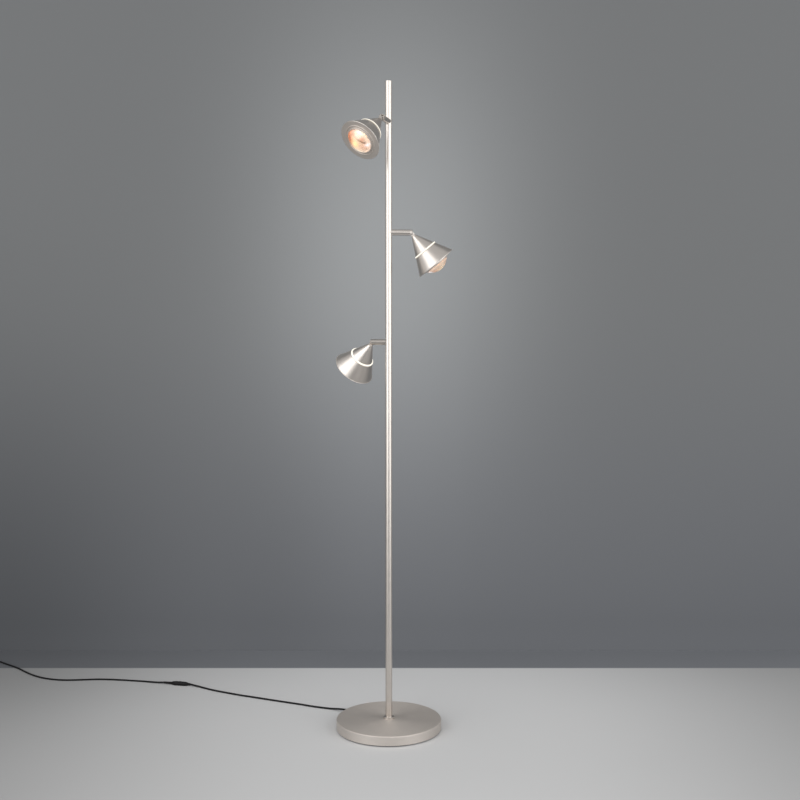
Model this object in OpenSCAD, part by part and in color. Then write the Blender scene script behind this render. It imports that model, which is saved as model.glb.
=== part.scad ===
// Floor lamp: a round weighted base, one slim pole and three cone spotlights on short arms.
// Millimetres. Origin: centre of the foot pad's underside. +Z is up, +X is to the right.

/* [Base] */
// Diameter of the cover
base_d = 250; // [236:1:300]
// Height of the cover's side
base_side_h = 22; // [22:0.5:30]
// Sheet thickness of the cover
base_wall = 1.5; // [1:0.1:2]
// Rounding of the cover's top edge
base_edge_r = 2.5; // [2.1:0.1:4]
// Thickness of the foot pad
pad_h = 3; // [2:0.1:5]
// How far the pad lies in from the cover's side
pad_inset = 7; // [4:0.5:12]
// Thickness of the plate that closes the base
plate_h = 1.2; // [0.8:0.1:1.6]
// Thickness of the weight
weight_h = 10; // [7:0.5:10]
// Length of the driver
driver_l = 80; // [60:1:90]
// Width of the driver
driver_w = 34; // [24:1:38]
// Height of the driver
driver_h = 15; // [12:0.5:16]

/* [Pole] */
// Height of the lamp from the floor to the pole's top
lamp_h = 1526; // [1300:1:1700]
// Outer diameter of the pole
pole_d = 16; // [15.5:0.1:18]
// Wall of the pole
pole_wall = 1.2; // [1:0.1:1.4]
// Outer diameter of the collar at the pole's foot
collar_d = 26; // [22:0.5:40]
// Height of the collar
collar_h = 4.5; // [3:0.5:10]
// Thickness of the cap that closes the pole
cap_h = 1.2; // [0.8:0.1:4]

/* [Arms] */
// Distance from the pole's top down to the upper arm
upper_drop = 92.5; // [75:0.5:140]
// Distance from each arm down to the next
arm_gap = 255.5; // [245:0.5:320]
// Direction of the upper arm, seen from above
upper_az = 254; // [235:1:265]
// Direction of the middle arm, seen from above
middle_az = 5; // [-20:1:20]
// Direction of the lower arm, seen from above
lower_az = 137; // [115:1:160]
// Outer diameter of an arm
arm_d = 14; // [13.5:0.1:15]
// Wall of an arm's tube
arm_wall = 1.5; // [1.2:0.1:1.6]
// Distance from the pole's axis to the end of an arm's tube
arm_end = 45; // [42:0.5:60]
// Distance from there to the head's pivot
pivot_out = 7; // [7:0.5:9]

/* [Hinge] */
// Diameter of the hinge screw's shank
pin_d = 4; // [3:0.1:4.5]
// How far the fork's cheeks reach past the pivot
fork_past = 3.7; // [3.4:0.1:3.8]
// Thickness of the neck's tongue
tongue_w = 5; // [4:0.1:5.4]
// Radius of the tongue's eye
eye_r = 4.5; // [4.1:0.1:4.6]
// Radial clearance of a turning fit
turn_gap = 0.05; // [0.02:0.01:0.08]
// Clearance on each side of the tongue
side_gap = 0.15; // [0.1:0.05:0.3]
// Diameter of the fork's hollow stem
stem_d = 8; // [7:0.1:8.2]

/* [Heads] */
// Rim diameter of a shade
rim_d = 100; // [92:1:110]
// Distance from the pivot to the rim
rim_at = 93; // [91:0.5:110]
// Diameter of the cone's tip
tip_d = 10.8; // [10.2:0.1:12]
// Distance from the pivot to the cone's tip
tip_at = 10.2; // [10:0.1:12]
// Sheet thickness of the cone
cone_wall = 1.4; // [1:0.1:1.5]
// Distance from the pivot to the light ring
ring_at = 51; // [48:0.5:54]
// Thickness of the light ring
ring_h = 3.6; // [3:0.1:5]
// How far the light ring stands out from the cone at its middle
ring_out = 1.5; // [1.3:0.1:4]
// Diameter of the lens dome
lens_d = 60; // [50:0.5:62]
// Height of the lens dome
lens_h = 15.5; // [10:0.5:20]
// How far the bezel stands out past the rim
bezel_out = 3; // [2:0.1:5]
// Tilt of the upper head below its arm's line
upper_tilt = 48; // [5:1:80]
// Tilt of the middle head below its arm's line
middle_tilt = 50; // [5:1:80]
// Tilt of the lower head below its arm's line
lower_tilt = 44; // [5:1:80]
// Turn of the upper head about its arm
upper_turn = -28; // [-60:1:60]
// Turn of the middle head about its arm
middle_turn = 0; // [-60:1:60]
// Turn of the lower head about its arm
lower_turn = -3; // [-60:1:60]

/* [Cord] */
// Outer diameter of the cord
cord_d = 4.5; // [4:0.1:4.6]
// Direction in which the cord leaves the base
gland_az = 135; // [130:1:140]
// Length of the strain relief outside the base
gland_l = 22; // [20:1:24]
// Length of the in-line switch
switch_l = 48; // [42:1:52]
// Width of the in-line switch
switch_w = 13; // [12.6:0.1:15]
// Height of the in-line switch
switch_h = 9; // [8.5:0.1:9.5]
// Diameter of the switch's push button
button_d = 7; // [5.6:0.1:7.4]
// Turns of stored cord in the coil
coil_turns = 3.25; // [2.25:1:5.25]
// Radius of the coil's outer turn
coil_r = 31.2; // [30:0.1:34]
// Thickness of the mains plug
plug_h = 14.5; // [14.5:0.1:15]
// Width of the mains plug across its pins
plug_w = 35; // [32:0.5:36]
// Distance between the plug's pins
pin_gap = 18.6; // [18:0.1:19]
// Diameter of a plug pin
plug_pin_d = 4; // [3.8:0.1:4.8]
// Free length of a plug pin
plug_pin_l = 19; // [18:0.5:20]

/* [Hidden] */
$fn = 96;

nickel = [0.72, 0.70, 0.67];
steel = [0.55, 0.55, 0.56];
iron = [0.25, 0.25, 0.27];
black = [0.06, 0.06, 0.07];
brass = [0.80, 0.66, 0.35];
milky = [1.0, 0.96, 0.86];
clear = [0.95, 0.88, 0.82, 0.6];
white = [0.92, 0.92, 0.90];

// Heights in the base, from the floor up
cover_top = pad_h + base_side_h;
plate_top = pad_h + plate_h;
weight_top = cover_top - base_wall;
weight_bottom = weight_top - weight_h;
inner_r = base_d / 2 - base_wall;
fit_gap = 0.1;                              // slack of pieces that are pushed together
plate_r = inner_r - 1.5;
weight_r = inner_r - 1;
pad_r = base_d / 2 - pad_inset;

// Fixing of the pole
stud_r = 5;
stud_bore_r = 3.25;
stud_plug_h = 18;
washer_r = 12;
washer_h = 1.5;
nut_h = 4.5;
nut_af = 17;
pole_r = pole_d / 2;
pole_bore_r = pole_r - pole_wall;
washer_at = weight_bottom - washer_h;
nut_at = washer_at - nut_h;
cap_plug_h = 12;

// Screws that hold the closing plate to four bosses of the weight
screw_ring_r = inner_r - 18;
boss_r = 6;
screw_r = 1.75;
screw_head_r = 3.5;
screw_head_h = 1.8;
screw_grip = 7;                             // depth of thread in a boss
pad_hole_r = screw_head_r + 1;

// Driver and wires inside the base
driver_y = 66;
pocket_gap = 2;
lead_r = 1.5;
branch_r = 1.2;
lead_z = plate_top + fit_gap + lead_r;
lead_bend = 8;
elbow_r = lead_r + 0.05;
lead_start = 0.5;                           // how far the mains lead starts clear of the strain relief

// Strain relief in the side of the base
gland_r = 4;
gland_flange_r = 5.5;
gland_flange_h = 2;
gland_lock_r = 4.8;
gland_z = plate_top + gland_lock_r + 0.15;
gland_notch = 0.5;                          // slack of the weight's notch for it
gland_lock_h = 2.5;
gland_tip_r = cord_d / 2 + 0.9;

// Arms: heights, directions, tilts and turns of the three heads, from the top down
arm_z = [for (i = [0:2]) lamp_h - upper_drop - i * arm_gap];
arm_az = [upper_az, middle_az, lower_az];
head_tilt = [upper_tilt, middle_tilt, lower_tilt];
head_turn = [upper_turn, middle_turn, lower_turn];
arm_r = arm_d / 2;
pivot_r = arm_end + pivot_out;
arm_bore_r = arm_r - arm_wall;
nipple_r = 4;
nipple_bore_r = 2.2;
nipple_from = pole_bore_r - 0.8;
nipple_to = 21;
root_to = 22;                               // the arm is solid from the pole to here
bush_l = 8;
bush_from = arm_end - bush_l;
stem_r = stem_d / 2;
stem_bore_r = 2;
flare_r = arm_bore_r - 0.3;
flare_l = 2.4;
face_gap = 0.1;                             // end play of the fork in its bush
fork_edge = 0.3;                            // chamfer of the fork's flat end
fork_from = arm_end + face_gap;
slot_w = tongue_w + 2 * side_gap;
slot_top = eye_r + 0.4;
slot_floor = pivot_r - eye_r - 1.3;
fork_to = pivot_r + fork_past;
pin_r = pin_d / 2;
pin_head_r = pin_r + 0.8;
pin_head_h = 1.4;
pin_head_at = slot_w / 2 + 2.2;
pin_back = 0.8;                             // how far the screw's end stays under the fork's side

// Head, measured along its axis from the pivot
tip_r = tip_d / 2;
rim_r = rim_d / 2;
slope = (rim_r - tip_r) / (rim_at - tip_at);
function cone_r(d) = tip_r + slope * (d - tip_at);
wall_x = cone_wall * sqrt(1 + slope * slope);   // wall measured across the axis
function bore_r(d) = cone_r(d) - wall_x;
collar_at = arm_r + 1.2;
collar_r = tip_r - 0.4;
neck_to = tip_at + 15;
neck_bore_r = 1.8;
flange_h = 2;
ring_to = ring_at + ring_h;
ring_r = cone_r((ring_at + ring_to) / 2) + ring_out;
ring_bore_r = bore_r(ring_at) - 4.8;
flange_bore_r = ring_bore_r - 7;
ring_edge_r = 1.2;
sink_to = ring_at;
sink_from = ring_at - 14;
sink_r = flange_bore_r - 0.2;
module_r = ring_bore_r - 0.4;
module_h = 2;
chip_r = 6;
chip_h = 1;
cup_from = ring_at + module_h;
cup_neck_r = 8;
cup_wall = 0.9;
front_h = 1.5;
front_back = rim_at - front_h;
front_edge = 0.3;                           // chamfer of the front plate's outer edge
spigot_h = 1.5;                             // how deep the front plate goes into the cone
lens_r = lens_d / 2;
bezel_r = lens_r + 2.2;
trim_from_r = lens_r + 6.5;
trim_to_r = lens_r + 8.5;
trim_h = 1.2;
bezel_front = rim_at + bezel_out;
lens_gap = 0.15;
lens_wall = 2;
lens_seat = front_back - spigot_h;
cup_flange_r = lens_r + 1.8;
cup_flange_h = 0.8;
dome_r = (lens_r * lens_r + lens_h * lens_h) / (2 * lens_h);
dome_at = bezel_front + lens_h - dome_r;

// In-line switch, lying on the floor
switch_at = [-565, 330.5];
switch_az = 167;
switch_wall = 1.2;
switch_tip_r = 3.6;
switch_taper = 10;
split_gap = 0.05;
boot_near = 6;
boot_far = 22;
boot_r = switch_tip_r - 0.4;
boot_tip_r = cord_d / 2 + 0.5;
boot_in = 3;
button_up = 1.2;
button_travel = 1;
button_flange_h = 0.8;
button_gap = 0.1;
button_r = button_d / 2;
button_skirt = button_r + 0.6;
button_floor = switch_h - switch_wall - button_flange_h - 0.1;
spring_r = 2.4;
spring_wire_r = 0.3;
spring_turns = 4;
contact_t = 0.6;

// Cord routes, as points that a smooth curve passes through
cord_r = cord_d / 2;
cord_z = cord_r;
gland_dir = [cos(gland_az), sin(gland_az), 0];
gland_tip = (base_d / 2 + gland_l) * gland_dir + [0, 0, gland_z];
near_route = [
    [-112, 111.5, 7.8], [-128, 124.5, 4.8], [-146, 133, 2.8], [-164, 140, cord_z + 0.05],
    [-195, 152, cord_z], [-226, 167, cord_z], [-258, 181, cord_z], [-290, 195, cord_z],
    [-323, 210, cord_z], [-356, 225, cord_z], [-389, 239.5, cord_z], [-423, 257, cord_z],
    [-457, 275.5, cord_z], [-476, 287, cord_z], [-494, 299.5, cord_z + 0.1], [-512, 311, cord_z + 0.9]
];
far_route = [
    [-634, 346.5, 3.1], [-667, 356.5, cord_z + 0.1], [-701, 363.5, cord_z], [-735, 369.5, cord_z],
    [-769, 374, cord_z], [-802, 375, cord_z], [-834, 372, cord_z], [-865, 368.5, cord_z],
    [-895, 369, cord_z], [-920, 374.5, cord_z], [-945, 384, cord_z], [-972, 400.5, cord_z],
    [-998, 422, cord_z], [-1024, 448.5, cord_z], [-1050, 476, cord_z], [-1075, 498.5, cord_z],
    [-1099, 518, cord_z], [-1124, 539.5, cord_z], [-1150, 560.5, cord_z]
];
cord_sides = 10;

// Coil of the cord's far end: in and out again in two layers
coil_at = [-1200, 555];
coil_from = 60;
coil_pitch = cord_d + 0.7;
coil_rise = cord_d + 0.5;
coil_steps = 24;
coil_lead = cord_d + 1.5;
coil_sides = 6;
plug_lead = 22;
plug_l = 34;
plug_boot_l = 20;
plug_boot_r = cord_r + 2.2;
plug_nose_w = 12;
pin_root = 3;
pin_step = 0.3;                             // free length of the thinner root in front of the plug's face
pin_root_d = plug_pin_d - 0.8;              // the pins are thinner inside the plug
pin_tip_r = 0.8;

function unit(v) = v / norm(v);
function along(az) = [cos(az), sin(az), 0];

// Point at share t of the way from p[i] to the next point, on a curve through all points
function curve_point(p, i, t) =
    let (
        last = len(p) - 1,
        a = p[max(i - 1, 0)],
        b = p[i],
        c = p[i + 1],
        d = p[min(i + 2, last)],
        m = i == 0 ? c - b : (c - a) / 2,
        n = i + 1 == last ? c - b : (d - b) / 2
    )
    (2 * t ^ 3 - 3 * t ^ 2 + 1) * b + (t ^ 3 - 2 * t ^ 2 + t) * m
        + (3 * t ^ 2 - 2 * t ^ 3) * c + (t ^ 3 - t ^ 2) * n;

// Curve through the points p, with n steps between each two of them
function curve(p, n) = [
    for (i = [0:len(p) - 2], k = [0:n - 1]) curve_point(p, i, k / n),
    p[len(p) - 1]
];

function ring_points(c, dir, r, sides) =
    let (side = unit(cross(dir, [0, 0, 1])), up = cross(side, dir))
    [for (k = [0:sides - 1]) let (a = 360 * (k + 0.5) / sides) c + r * (cos(a) * side + sin(a) * up)];

// Tube of radius r swept along the points p; its ends stand square to d0 and d1
module tube(p, r, sides, d0, d1) {
    last = len(p) - 1;
    end = last * sides;
    points = [
        for (i = [0:last])
            let (dir = i == 0 ? d0 : i == last ? d1 : unit(p[i + 1] - p[i - 1]))
            each ring_points(p[i], dir, r, sides)
    ];
    faces = [
        for (k = [1:sides - 2]) [0, k + 1, k],
        for (i = [0:last - 1], k = [0:sides - 1])
            let (a = i * sides + k, b = i * sides + (k + 1) % sides)
            each [[a, b, a + sides], [b, b + sides, a + sides]],
        for (k = [1:sides - 2]) [end, end + k, end + k + 1]
    ];
    polyhedron(points, faces, convexity = 10);
}

module disc(r, from, to) {
    translate([0, 0, from]) cylinder(r = r, h = to - from);
}

module sleeve(r, bore, from, to) {
    difference() {
        disc(r, from, to);
        disc(bore, from - 1, to + 1);
    }
}

// Frame of an arm: +X along the arm, away from the pole
module at_arm(i) {
    translate([0, 0, arm_z[i]]) rotate([0, 0, arm_az[i]]) children();
}

// Turns a shape built along +Z so that it lies along +X
module along_arm() {
    rotate([0, 90, 0]) children();
}

// Frame of the swivelling fork: turned about the arm's line
module at_fork(i) {
    at_arm(i) rotate([head_turn[i], 0, 0]) children();
}

// Frame of a head: pivot at the origin, +Z out along the cone's axis
module at_head(i) {
    at_fork(i) translate([pivot_r, 0, 0]) rotate([0, 90 + head_tilt[i], 0]) children();
}

// Round body from a half outline given as points [radius, distance along the axis]
module turned(outline) {
    rotate_extrude() polygon(outline);
}

module base_cover() {
    color(nickel) difference() {
        union() {
            disc(base_d / 2, pad_h, cover_top - base_edge_r);
            disc(base_d / 2 - base_edge_r, pad_h, cover_top);
            translate([0, 0, cover_top - base_edge_r]) rotate_extrude()
                translate([base_d / 2 - base_edge_r, 0]) intersection() {
                    circle(base_edge_r);
                    square(base_edge_r);
                }
        }
        disc(inner_r, pad_h - 1, weight_top);
        disc(stud_r + fit_gap, weight_top - 1, cover_top + 1);
        rotate([0, 0, gland_az]) translate([inner_r - 5, 0, gland_z]) rotate([0, 90, 0])
            cylinder(r = gland_r + fit_gap, h = 10 + base_wall);
    }
}

module screw_places() {
    for (k = [0:3]) rotate([0, 0, 45 + 90 * k + 25]) translate([screw_ring_r, 0, 0]) children();
}

module base_weight() {
    color(iron) difference() {
        union() {
            disc(weight_r, weight_bottom, weight_top);
            screw_places() disc(boss_r, plate_top, weight_bottom + 1);
        }
        disc(stud_r + fit_gap, weight_bottom - 1, weight_top + 1);
        translate([0, driver_y, plate_top + (driver_h + pocket_gap) / 2])
            cube([driver_l + 2 * pocket_gap, driver_w + 2 * pocket_gap, driver_h + pocket_gap], center = true);
        screw_places() disc(screw_r + fit_gap, plate_top - 1, plate_top + screw_grip + 1);
        rotate([0, 0, gland_az]) translate([inner_r - gland_lock_h - gland_notch, 0, gland_z]) rotate([0, 90, 0])
            cylinder(r = gland_lock_r + gland_notch, h = 2 * gland_lock_h);
    }
}

module base_plate() {
    color(steel) difference() {
        disc(plate_r, pad_h, plate_top);
        screw_places() disc(screw_r + fit_gap, pad_h - 1, plate_top + 1);
    }
}

module base_pad() {
    color(black) difference() {
        disc(pad_r, 0, pad_h);
        screw_places() disc(pad_hole_r, -1, pad_h + 1);
    }
}

module base_screws() {
    color(steel) screw_places() difference() {
        union() {
            disc(screw_r, pad_h - screw_head_h, plate_top + screw_grip);
            disc(screw_head_r, pad_h - screw_head_h, pad_h);
        }
        for (a = [0, 90]) rotate([0, 0, a]) translate([0, 0, pad_h - screw_head_h])
            cube([4, 0.8, 1.6], center = true);
    }
}

module driver() {
    color(white) translate([-driver_l / 2, driver_y - driver_w / 2, plate_top])
        cube([driver_l, driver_w, driver_h]);
}

module inner_wires() {
    lock_end = (inner_r - gland_lock_h - lead_start) * gland_dir;
    driver_end = [-driver_l / 2, driver_y, 0];
    elbow = driver_end - [lead_bend, 0, 0];
    run = elbow - lock_end;
    color(black) {
        // Mains lead from the strain relief to the driver
        translate(lock_end + [0, 0, gland_z]) rotate([0, 0, atan2(run.y, run.x)]) rotate([0, 90, 0])
            cylinder(r = lead_r, h = norm(run));
        translate(elbow + [0, 0, gland_z]) sphere(elbow_r);
        translate(elbow + [0, 0, gland_z]) rotate([0, 90, 0]) cylinder(r = lead_r, h = lead_bend);
        // Low-voltage lead from the driver up the pole, with a branch into each arm
        translate([0, 0, lead_z]) rotate([-90, 0, 0]) cylinder(r = lead_r, h = driver_y - driver_w / 2);
        translate([0, 0, lead_z]) sphere(elbow_r);
        disc(lead_r, lead_z, arm_z[0] + 2 * branch_r);
        for (i = [0:2]) at_arm(i) along_arm() cylinder(r = branch_r, h = bush_from - flare_l - 2);
    }
}

module cord_gland() {
    from = inner_r - gland_lock_h;
    out = base_d / 2;
    color(black) rotate([0, 0, gland_az]) translate([0, 0, gland_z]) rotate([0, 90, 0]) turned([
        [lead_r, from], [gland_lock_r, from], [gland_lock_r, inner_r - 0.2], [gland_r, inner_r - 0.2],
        [gland_r, out], [gland_flange_r, out], [gland_flange_r, out + gland_flange_h],
        [gland_r + 0.4, out + gland_flange_h], [gland_tip_r, out + gland_l], [0, out + gland_l],
        [0, out], [lead_r, out]
    ]);
}

module pole_collar() {
    edge = 1;
    color(nickel) turned([
        [pole_r + fit_gap / 2, cover_top], [collar_d / 2, cover_top],
        [collar_d / 2, cover_top + collar_h - edge], [collar_d / 2 - edge, cover_top + collar_h],
        [pole_r + fit_gap / 2, cover_top + collar_h]
    ]);
}

module pole_foot_stud() {
    color(steel) difference() {
        union() {
            disc(stud_r, nut_at, cover_top + 1);
            disc(pole_bore_r - fit_gap / 2, cover_top, cover_top + stud_plug_h);
        }
        disc(stud_bore_r, nut_at - 1, cover_top + stud_plug_h + 1);
    }
}

module pole_washer() {
    color(steel) sleeve(washer_r, stud_r + fit_gap, washer_at, weight_bottom);
}

module pole_nut() {
    color(steel) difference() {
        translate([0, 0, nut_at]) cylinder(d = nut_af / cos(30), h = nut_h, $fn = 6);
        disc(stud_r + 0.02, nut_at - 1, nut_at + nut_h + 1);
    }
}

module pole_tube() {
    color(nickel) difference() {
        sleeve(pole_r, pole_bore_r, cover_top, lamp_h - cap_h);
        for (i = [0:2]) at_arm(i) along_arm() cylinder(r = nipple_r + fit_gap / 2, h = pole_d);
    }
}

module pole_cap() {
    color(nickel) {
        disc(pole_r, lamp_h - cap_h, lamp_h);
        disc(pole_bore_r - fit_gap / 2, lamp_h - cap_h - cap_plug_h, lamp_h - cap_h + 0.1);
    }
}

module arm_nipples() {
    color(steel) for (i = [0:2]) at_arm(i) along_arm() sleeve(nipple_r, nipple_bore_r, nipple_from, nipple_to);
}

module arm_bushes() {
    color(brass) for (i = [0:2]) at_arm(i) along_arm()
        sleeve(arm_bore_r - 0.02, stem_r + turn_gap, bush_from, arm_end);
}

module arm(i) {
    color(nickel) difference() {
        at_arm(i) along_arm() difference() {
            disc(arm_r, 0, arm_end);
            disc(nipple_r + fit_gap / 2, -1, arm_end + 1);
            disc(arm_bore_r, root_to, arm_end + 1);
        }
        disc(pole_r + 0.02, arm_z[i] - arm_d, arm_z[i] + arm_d);
    }
}
module upper_arm() { arm(0); }
module middle_arm() { arm(1); }
module lower_arm() { arm(2); }

// Turns about the arm's line; its hollow stem is flared behind the bush
module fork(i) {
    color(nickel) at_fork(i) difference() {
        union() {
            along_arm() disc(stem_r, bush_from - face_gap - flare_l, fork_from + 1);
            along_arm() disc(flare_r, bush_from - face_gap - flare_l, bush_from - face_gap);
            along_arm() turned([
                [0, fork_from], [arm_r, fork_from], [arm_r, fork_to - fork_edge],
                [arm_r - fork_edge, fork_to], [0, fork_to]
            ]);
        }
        along_arm() disc(stem_bore_r, 0, slot_floor + 1);
        translate([slot_floor, -slot_w / 2, -arm_d]) cube([arm_d * 2, slot_w, arm_d + slot_top]);
        translate([pivot_r, 0, 0]) rotate([90, 0, 0]) cylinder(r = pin_r + 0.02, h = arm_d * 2, center = true);
        translate([pivot_r, -pin_head_at, 0]) rotate([90, 0, 0]) cylinder(r = pin_head_r + fit_gap, h = arm_d);
    }
}
module upper_fork() { fork(0); }
module middle_fork() { fork(1); }
module lower_fork() { fork(2); }

module hinge_screw(i) {
    color(steel) at_fork(i) translate([pivot_r, 0, 0]) rotate([90, 0, 0]) difference() {
        union() {
            disc(pin_r, -arm_r + pin_back, pin_head_at + 0.5);
            disc(pin_head_r, pin_head_at, pin_head_at + pin_head_h);
        }
        translate([0, 0, pin_head_at + pin_head_h]) cube([pin_d * 2, 0.8, 1.4], center = true);
    }
}
module upper_hinge_screw() { hinge_screw(0); }
module middle_hinge_screw() { hinge_screw(1); }
module lower_hinge_screw() { hinge_screw(2); }

// Tongue with its eye, a collar, and a plug that is brazed into the cone's tip
module neck(i) {
    edge = 0.6;
    color(nickel) at_head(i) difference() {
        union() {
            rotate([90, 0, 0]) cylinder(r = eye_r, h = tongue_w, center = true);
            translate([-eye_r, -tongue_w / 2, 0]) cube([eye_r * 2, tongue_w, collar_at + 0.5]);
            turned([
                [0, collar_at], [collar_r - edge, collar_at], [collar_r, collar_at + edge],
                [collar_r, tip_at], [bore_r(tip_at) - fit_gap / 2, tip_at],
                [bore_r(neck_to) - fit_gap / 2, neck_to], [0, neck_to]
            ]);
        }
        rotate([90, 0, 0]) cylinder(r = pin_r + turn_gap, h = tongue_w * 2, center = true);
        disc(neck_bore_r, eye_r, neck_to + 1);
    }
}
module upper_neck() { neck(0); }
module middle_neck() { neck(1); }
module lower_neck() { neck(2); }

// Small cone from the neck to the light ring, with a flange that carries the light source
module tip_shell(i) {
    color(nickel) at_head(i) turned([
        [bore_r(tip_at), tip_at], [tip_r, tip_at], [cone_r(ring_at), ring_at],
        [flange_bore_r, ring_at], [flange_bore_r, ring_at - flange_h],
        [bore_r(ring_at - flange_h), ring_at - flange_h]
    ]);
}
module upper_tip_shell() { tip_shell(0); }
module middle_tip_shell() { tip_shell(1); }
module lower_tip_shell() { tip_shell(2); }

module light_ring(i) {
    r = ring_r;
    color(milky) at_head(i) union() {
        sleeve(r - ring_edge_r, ring_bore_r, ring_at, ring_to);
        sleeve(r, r - ring_edge_r - 1, ring_at + ring_edge_r, ring_to - ring_edge_r);
        for (d = [ring_at + ring_edge_r, ring_to - ring_edge_r])
            translate([0, 0, d]) rotate_extrude() translate([r - ring_edge_r, 0]) circle(ring_edge_r);
    }
}
module upper_light_ring() { light_ring(0); }
module middle_light_ring() { light_ring(1); }
module lower_light_ring() { light_ring(2); }

// Large cone from the light ring to the rim
module shade(i) {
    color(nickel) at_head(i) turned([
        [ring_bore_r, ring_to], [cone_r(ring_to), ring_to], [cone_r(front_back), front_back],
        [bore_r(front_back), front_back], [bore_r(ring_to + flange_h), ring_to + flange_h],
        [ring_bore_r, ring_to + flange_h]
    ]);
}
module upper_shade() { shade(0); }
module middle_shade() { shade(1); }
module lower_shade() { shade(2); }

// Flat ring over the end of the shade, with a spigot in its mouth, a low trim and a collar round the lens
module front_plate(i) {
    spigot_r = bore_r(lens_seat) - fit_gap / 2;
    hole = lens_r + lens_gap;
    color(nickel) at_head(i) turned([
        [hole, lens_seat], [spigot_r, lens_seat], [spigot_r, front_back], [rim_r - front_edge, front_back],
        [rim_r, front_back + front_edge], [rim_r, rim_at - front_edge], [rim_r - front_edge, rim_at],
        [trim_to_r, rim_at], [trim_to_r - front_edge, rim_at + trim_h],
        [trim_from_r + front_edge, rim_at + trim_h], [trim_from_r, rim_at], [bezel_r, rim_at],
        [bezel_r, bezel_front - front_edge], [bezel_r - front_edge, bezel_front], [hole, bezel_front]
    ]);
}
module upper_front_plate() { front_plate(0); }
module middle_front_plate() { front_plate(1); }
module lower_front_plate() { front_plate(2); }

// Domed lens with a straight skirt that goes into the bezel
module lens(i) {
    inner_dome_r = dome_r - lens_wall;
    color(clear) at_head(i) difference() {
        union() {
            disc(lens_r, lens_seat, bezel_front);
            intersection() {
                translate([0, 0, dome_at]) sphere(dome_r);
                disc(lens_r, bezel_front - 1, bezel_front + lens_h + 1);
            }
        }
        disc(lens_r - lens_wall, lens_seat - 1, bezel_front - 1);
        intersection() {
            translate([0, 0, dome_at]) sphere(inner_dome_r);
            disc(lens_r - lens_wall, bezel_front - 1.1, bezel_front + lens_h);
        }
    }
}
module upper_lens() { lens(0); }
module middle_lens() { lens(1); }
module lower_lens() { lens(2); }

// Bright cup that gathers the light towards the lens
module reflector(i) {
    mouth_r = lens_r - lens_wall;
    color(steel) at_head(i) turned([
        [cup_neck_r, cup_from], [cup_neck_r + cup_wall, cup_from],
        [mouth_r + cup_wall, lens_seat - cup_flange_h], [cup_flange_r, lens_seat - cup_flange_h],
        [cup_flange_r, lens_seat], [mouth_r, lens_seat]
    ]);
}
module upper_reflector() { reflector(0); }
module middle_reflector() { reflector(1); }
module lower_reflector() { reflector(2); }

// Heat sink with its mounting flange and the light-emitting chip
module led_module(i) {
    color(steel) at_head(i) union() {
        disc(sink_r, sink_from, sink_to);
        disc(module_r, sink_to, sink_to + module_h);
        disc(chip_r, sink_to, sink_to + module_h + chip_h);
    }
}
module upper_led_module() { led_module(0); }
module middle_led_module() { led_module(1); }
module lower_led_module() { led_module(2); }

// Frame of the switch: +X along the cord, away from the base
module at_switch() {
    translate([switch_at.x, switch_at.y, 0]) rotate([0, 0, switch_az]) children();
}

// Barrel with tapered ends, grown or shrunk by g
module switch_barrel(g) {
    half = switch_l / 2;
    translate([0, 0, switch_h / 2]) rotate([0, 90, 0]) turned([
        [0, -half - g], [switch_tip_r + g, -half - g], [switch_w / 2 + g, -half + switch_taper],
        [switch_w / 2 + g, half - switch_taper], [switch_tip_r + g, half + g], [0, half + g]
    ]);
}

module switch_shell(from, to) {
    difference() {
        intersection() {
            switch_barrel(0);
            translate([-switch_l, -switch_w, from]) cube([2 * switch_l, 2 * switch_w, to - from]);
        }
        intersection() {
            switch_barrel(-switch_wall);
            translate([-switch_l, -switch_w, switch_wall])
                cube([2 * switch_l, 2 * switch_w, switch_h - 2 * switch_wall]);
        }
        translate([-switch_l, 0, switch_h / 2]) rotate([0, 90, 0])
            cylinder(r = boot_r + split_gap, h = 2 * switch_l);
    }
}

module switch_base() {
    color(black) at_switch() switch_shell(0, switch_h / 2 - split_gap / 2);
}

module switch_cover() {
    color(black) at_switch() difference() {
        switch_shell(switch_h / 2 + split_gap / 2, switch_h);
        disc(button_r + button_gap, switch_h / 2, switch_h + 1);
    }
}

module switch_button() {
    color(iron) at_switch() union() {
        disc(button_r, button_floor, switch_h + button_up);
        disc(button_skirt, button_floor, button_floor + button_flange_h);
    }
}

module switch_spring() {
    from = switch_wall + spring_wire_r + 0.05;
    to = button_floor - spring_wire_r - 0.05;
    steps = 8;
    count = spring_turns * steps;
    path = [
        for (k = [0:count]) let (a = 360 * k / steps)
            [spring_r * cos(a), spring_r * sin(a), from + (to - from) * k / count]
    ];
    color(steel) at_switch() tube(path, spring_wire_r, 6, along(90), along(90));
}

module switch_contacts() {
    color(brass) at_switch() for (s = [-1, 1])
        translate([s * (spring_r + 5) - 3, -2, switch_wall]) cube([6, 4, contact_t]);
}

module switch_boots() {
    half = switch_l / 2;
    color(black) at_switch() translate([0, 0, switch_h / 2]) rotate([0, 90, 0]) {
        turned([
            [0, half - boot_in], [boot_r, half - boot_in], [boot_r, half],
            [boot_tip_r, half + boot_far], [0, half + boot_far]
        ]);
        turned([
            [0, -half + boot_in], [boot_r, -half + boot_in], [boot_r, -half],
            [boot_tip_r, -half - boot_near], [0, -half - boot_near]
        ]);
    }
}

switch_mid = [switch_at.x, switch_at.y, switch_h / 2];
near_end = switch_mid - (switch_l / 2 + boot_near) * along(switch_az);
far_start = switch_mid + (switch_l / 2 + boot_far) * along(switch_az);

module cord_near() {
    path = curve(concat([gland_tip], near_route, [near_end]), 2);
    color(black) tube(path, cord_r, cord_sides, gland_dir, along(switch_az));
}

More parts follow.
